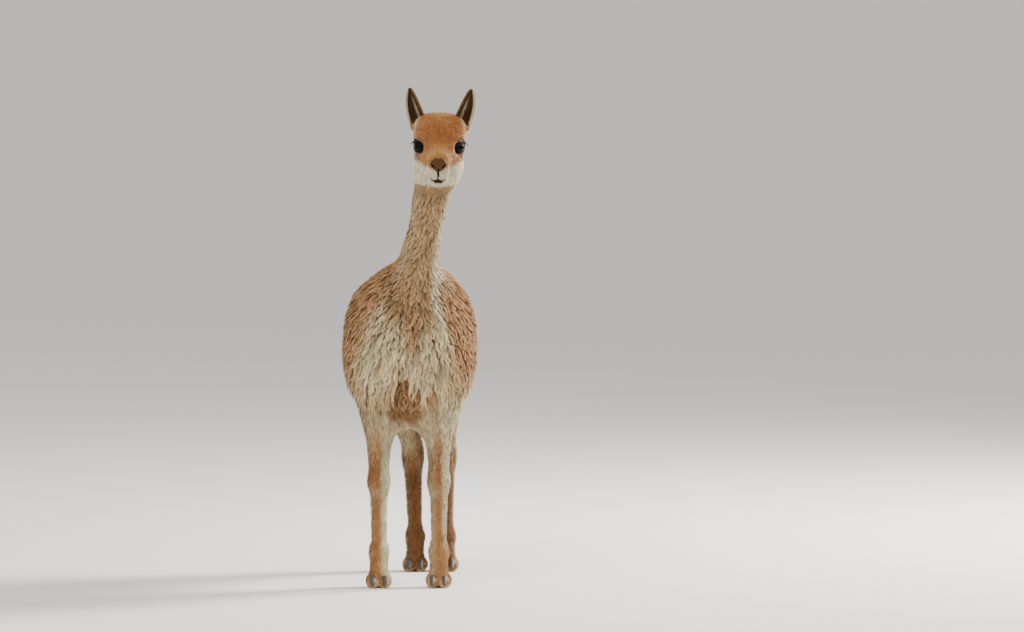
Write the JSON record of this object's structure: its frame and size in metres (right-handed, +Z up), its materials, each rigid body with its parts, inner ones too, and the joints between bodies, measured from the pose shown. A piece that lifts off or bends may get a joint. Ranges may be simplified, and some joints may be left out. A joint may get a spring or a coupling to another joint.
{
  "type": "vicuna",
  "caption": "Life-size standing vicuna looking straight ahead, ears up, with a long slender neck, thin legs and a hanging bib of pale locks on the chest.",
  "frame": {"origin": "on the floor under the middle of the whole animal's box", "axes": "+Z up, the animal faces -Y, and its own left side is +X"},
  "size_m": [0.3188, 0.9618, 1.2298],
  "materials": {
    "coat_fawn": "soft matte wool",
    "coat_cream": "long silky wool",
    "coat_brown": "short matte hair",
    "nail": "dull dark horn",
    "eye": "wet gloss, near black"
  },
  "bodies": {
    "root": {"head": "coat_fawn", "jaw": "coat_cream", "neck": "coat_fawn", "chest": "coat_cream", "trunk": "coat_fawn", "rump": "coat_fawn", "tail": "coat_brown", "eye_left": "eye", "eye_right": "eye", "ear_left": "coat_brown", "ear_right": "coat_brown", "foreleg_left_upper": "coat_fawn", "foreleg_left_lower": "coat_fawn", "foreleg_left_foot": "coat_fawn", "foreleg_left_nail_outer": "nail", "foreleg_left_nail_inner": "nail", "foreleg_right_upper": "coat_fawn", "foreleg_right_lower": "coat_fawn", "foreleg_right_foot": "coat_fawn", "foreleg_right_nail_outer": "nail", "foreleg_right_nail_inner": "nail", "hindleg_left_upper": "coat_fawn", "hindleg_left_lower": "coat_fawn", "hindleg_left_foot": "coat_fawn", "hindleg_left_nail_outer": "nail", "hindleg_left_nail_inner": "nail", "hindleg_right_upper": "coat_fawn", "hindleg_right_lower": "coat_fawn", "hindleg_right_foot": "coat_fawn", "hindleg_right_nail_outer": "nail", "hindleg_right_nail_inner": "nail"}
  },
  "joints": []
}
